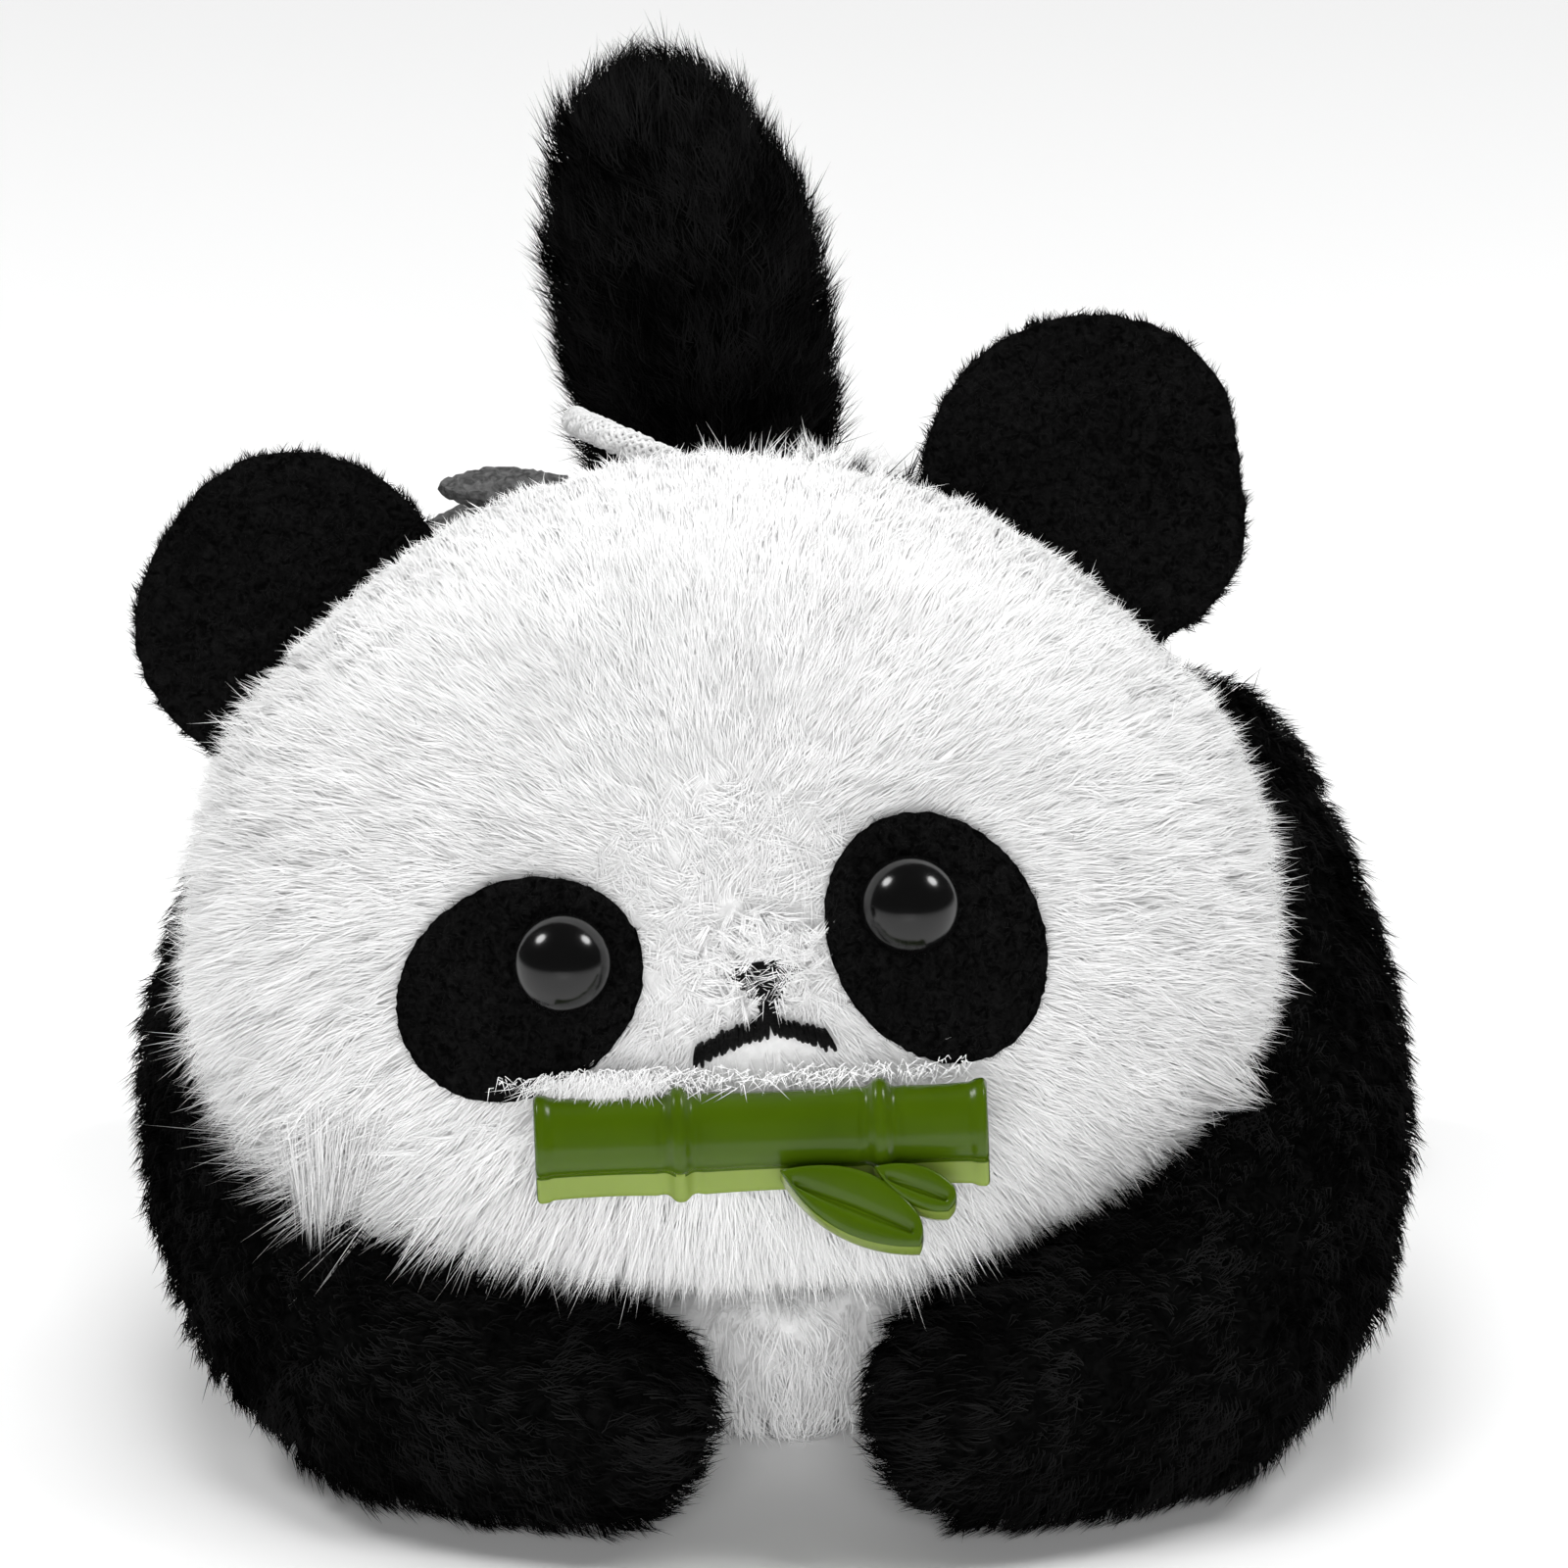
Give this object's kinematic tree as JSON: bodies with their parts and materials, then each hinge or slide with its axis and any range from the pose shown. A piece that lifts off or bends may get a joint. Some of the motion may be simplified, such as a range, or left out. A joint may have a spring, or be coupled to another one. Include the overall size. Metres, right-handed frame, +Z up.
{
  "type": "plush panda pendant",
  "caption": "Small stuffed panda pendant lying on its belly, with a moulded bamboo charm at the mouth, bead eyes, felt details and a braided hanging loop.",
  "frame": {"origin": "middle of the underside of the whole toy, on the surface that it lies on", "axes": "+Z up, the face looks towards -Y, the toy's height above the ground is along +Z and its length from nose to rump is along Y"},
  "size_m": [0.0926, 0.1095, 0.0844],
  "materials": {
    "white_plush": "short white faux fur",
    "black_plush": "short black faux fur",
    "stuffing": "polyester fibre filling",
    "black_felt": "matt felt, cut edges slightly frayed",
    "grey_felt": "matt felt",
    "black_thread": "embroidery thread",
    "white_cord": "braided cord",
    "black_plastic": "polished bead",
    "washer_plastic": "moulded",
    "green_plastic": "glossy, slightly see-through moulding"
  },
  "bodies": {
    "body": {"chest_panel": "white_plush", "shoulder_panel": "black_plush", "rump_panel": "white_plush", "body_stuffing": "stuffing"},
    "head": {"face_panel": "white_plush", "chin_panel": "white_plush", "head_back_panel": "white_plush", "head_stuffing": "stuffing", "eye_patch_left": "black_felt", "eye_patch_right": "black_felt", "bead_eye_left": "black_plastic", "bead_eye_right": "black_plastic", "eye_washer_left": "washer_plastic", "eye_washer_right": "washer_plastic", "nose_stitching": "black_thread", "mouth_stitching": "black_thread", "bamboo_charm": "green_plastic", "felt_leaf_front": "grey_felt", "felt_leaf_rear": "grey_felt", "hang_loop": "white_cord"},
    "ear_left": {"ear_felt_left": "black_felt", "ear_plush_left": "black_plush"},
    "ear_right": {"ear_felt_right": "black_felt", "ear_plush_right": "black_plush"},
    "arm_left": {"arm_skin_left": "black_plush", "arm_stuffing_left": "stuffing"},
    "arm_right": {"arm_skin_right": "black_plush", "arm_stuffing_right": "stuffing"},
    "leg_left": {"leg_skin_left": "black_plush", "leg_stuffing_left": "stuffing"},
    "leg_right": {"leg_skin_right": "black_plush", "leg_stuffing_right": "stuffing"},
    "tail": {"tail_skin": "black_plush", "tail_stuffing": "stuffing"}
  },
  "joints": [
    {"name": "head_nod", "type": "hinge", "parent": "body", "child": "head", "pos_m": [-0.0027, -0.0192, 0.0382], "axis": [1, 0, 0], "range_deg": [-8, 8], "stiffness_Nm_per_rad": 0.15},
    {"name": "ear_left_fold", "type": "hinge", "parent": "head", "child": "ear_left", "pos_m": [-0.03106, -0.00885, 0.05713], "axis": [0.6848, 0.2252, 0.693], "range_deg": [-35, 30], "stiffness_Nm_per_rad": 0.01},
    {"name": "ear_right_fold", "type": "hinge", "parent": "head", "child": "ear_right", "pos_m": [0.01846, -0.00703, 0.06271], "axis": [0.8493, -0.1632, -0.5021], "range_deg": [-35, 30], "stiffness_Nm_per_rad": 0.01},
    {"name": "arm_left_swing", "type": "hinge", "parent": "body", "child": "arm_left", "pos_m": [-0.028, 0.0148, 0.035], "axis": [0, 0, -1], "range_deg": [0, 30], "stiffness_Nm_per_rad": 0.05},
    {"name": "arm_right_swing", "type": "hinge", "parent": "body", "child": "arm_right", "pos_m": [0.029, 0.0148, 0.0355], "axis": [0, 0, 1], "range_deg": [0, 30], "stiffness_Nm_per_rad": 0.05},
    {"name": "leg_left_swing", "type": "hinge", "parent": "body", "child": "leg_left", "pos_m": [-0.021, 0.0328, 0.0118], "axis": [0, 0, -1], "range_deg": [-15, 20], "stiffness_Nm_per_rad": 0.03},
    {"name": "leg_right_swing", "type": "hinge", "parent": "body", "child": "leg_right", "pos_m": [0.023, 0.0328, 0.0118], "axis": [0, 0, 1], "range_deg": [-15, 20], "stiffness_Nm_per_rad": 0.03},
    {"name": "tail_lean", "type": "hinge", "parent": "body", "child": "tail", "pos_m": [-0.0035, 0.0388, 0.053], "axis": [1, 0, 0], "range_deg": [-50, 15], "stiffness_Nm_per_rad": 0.03}
  ]
}
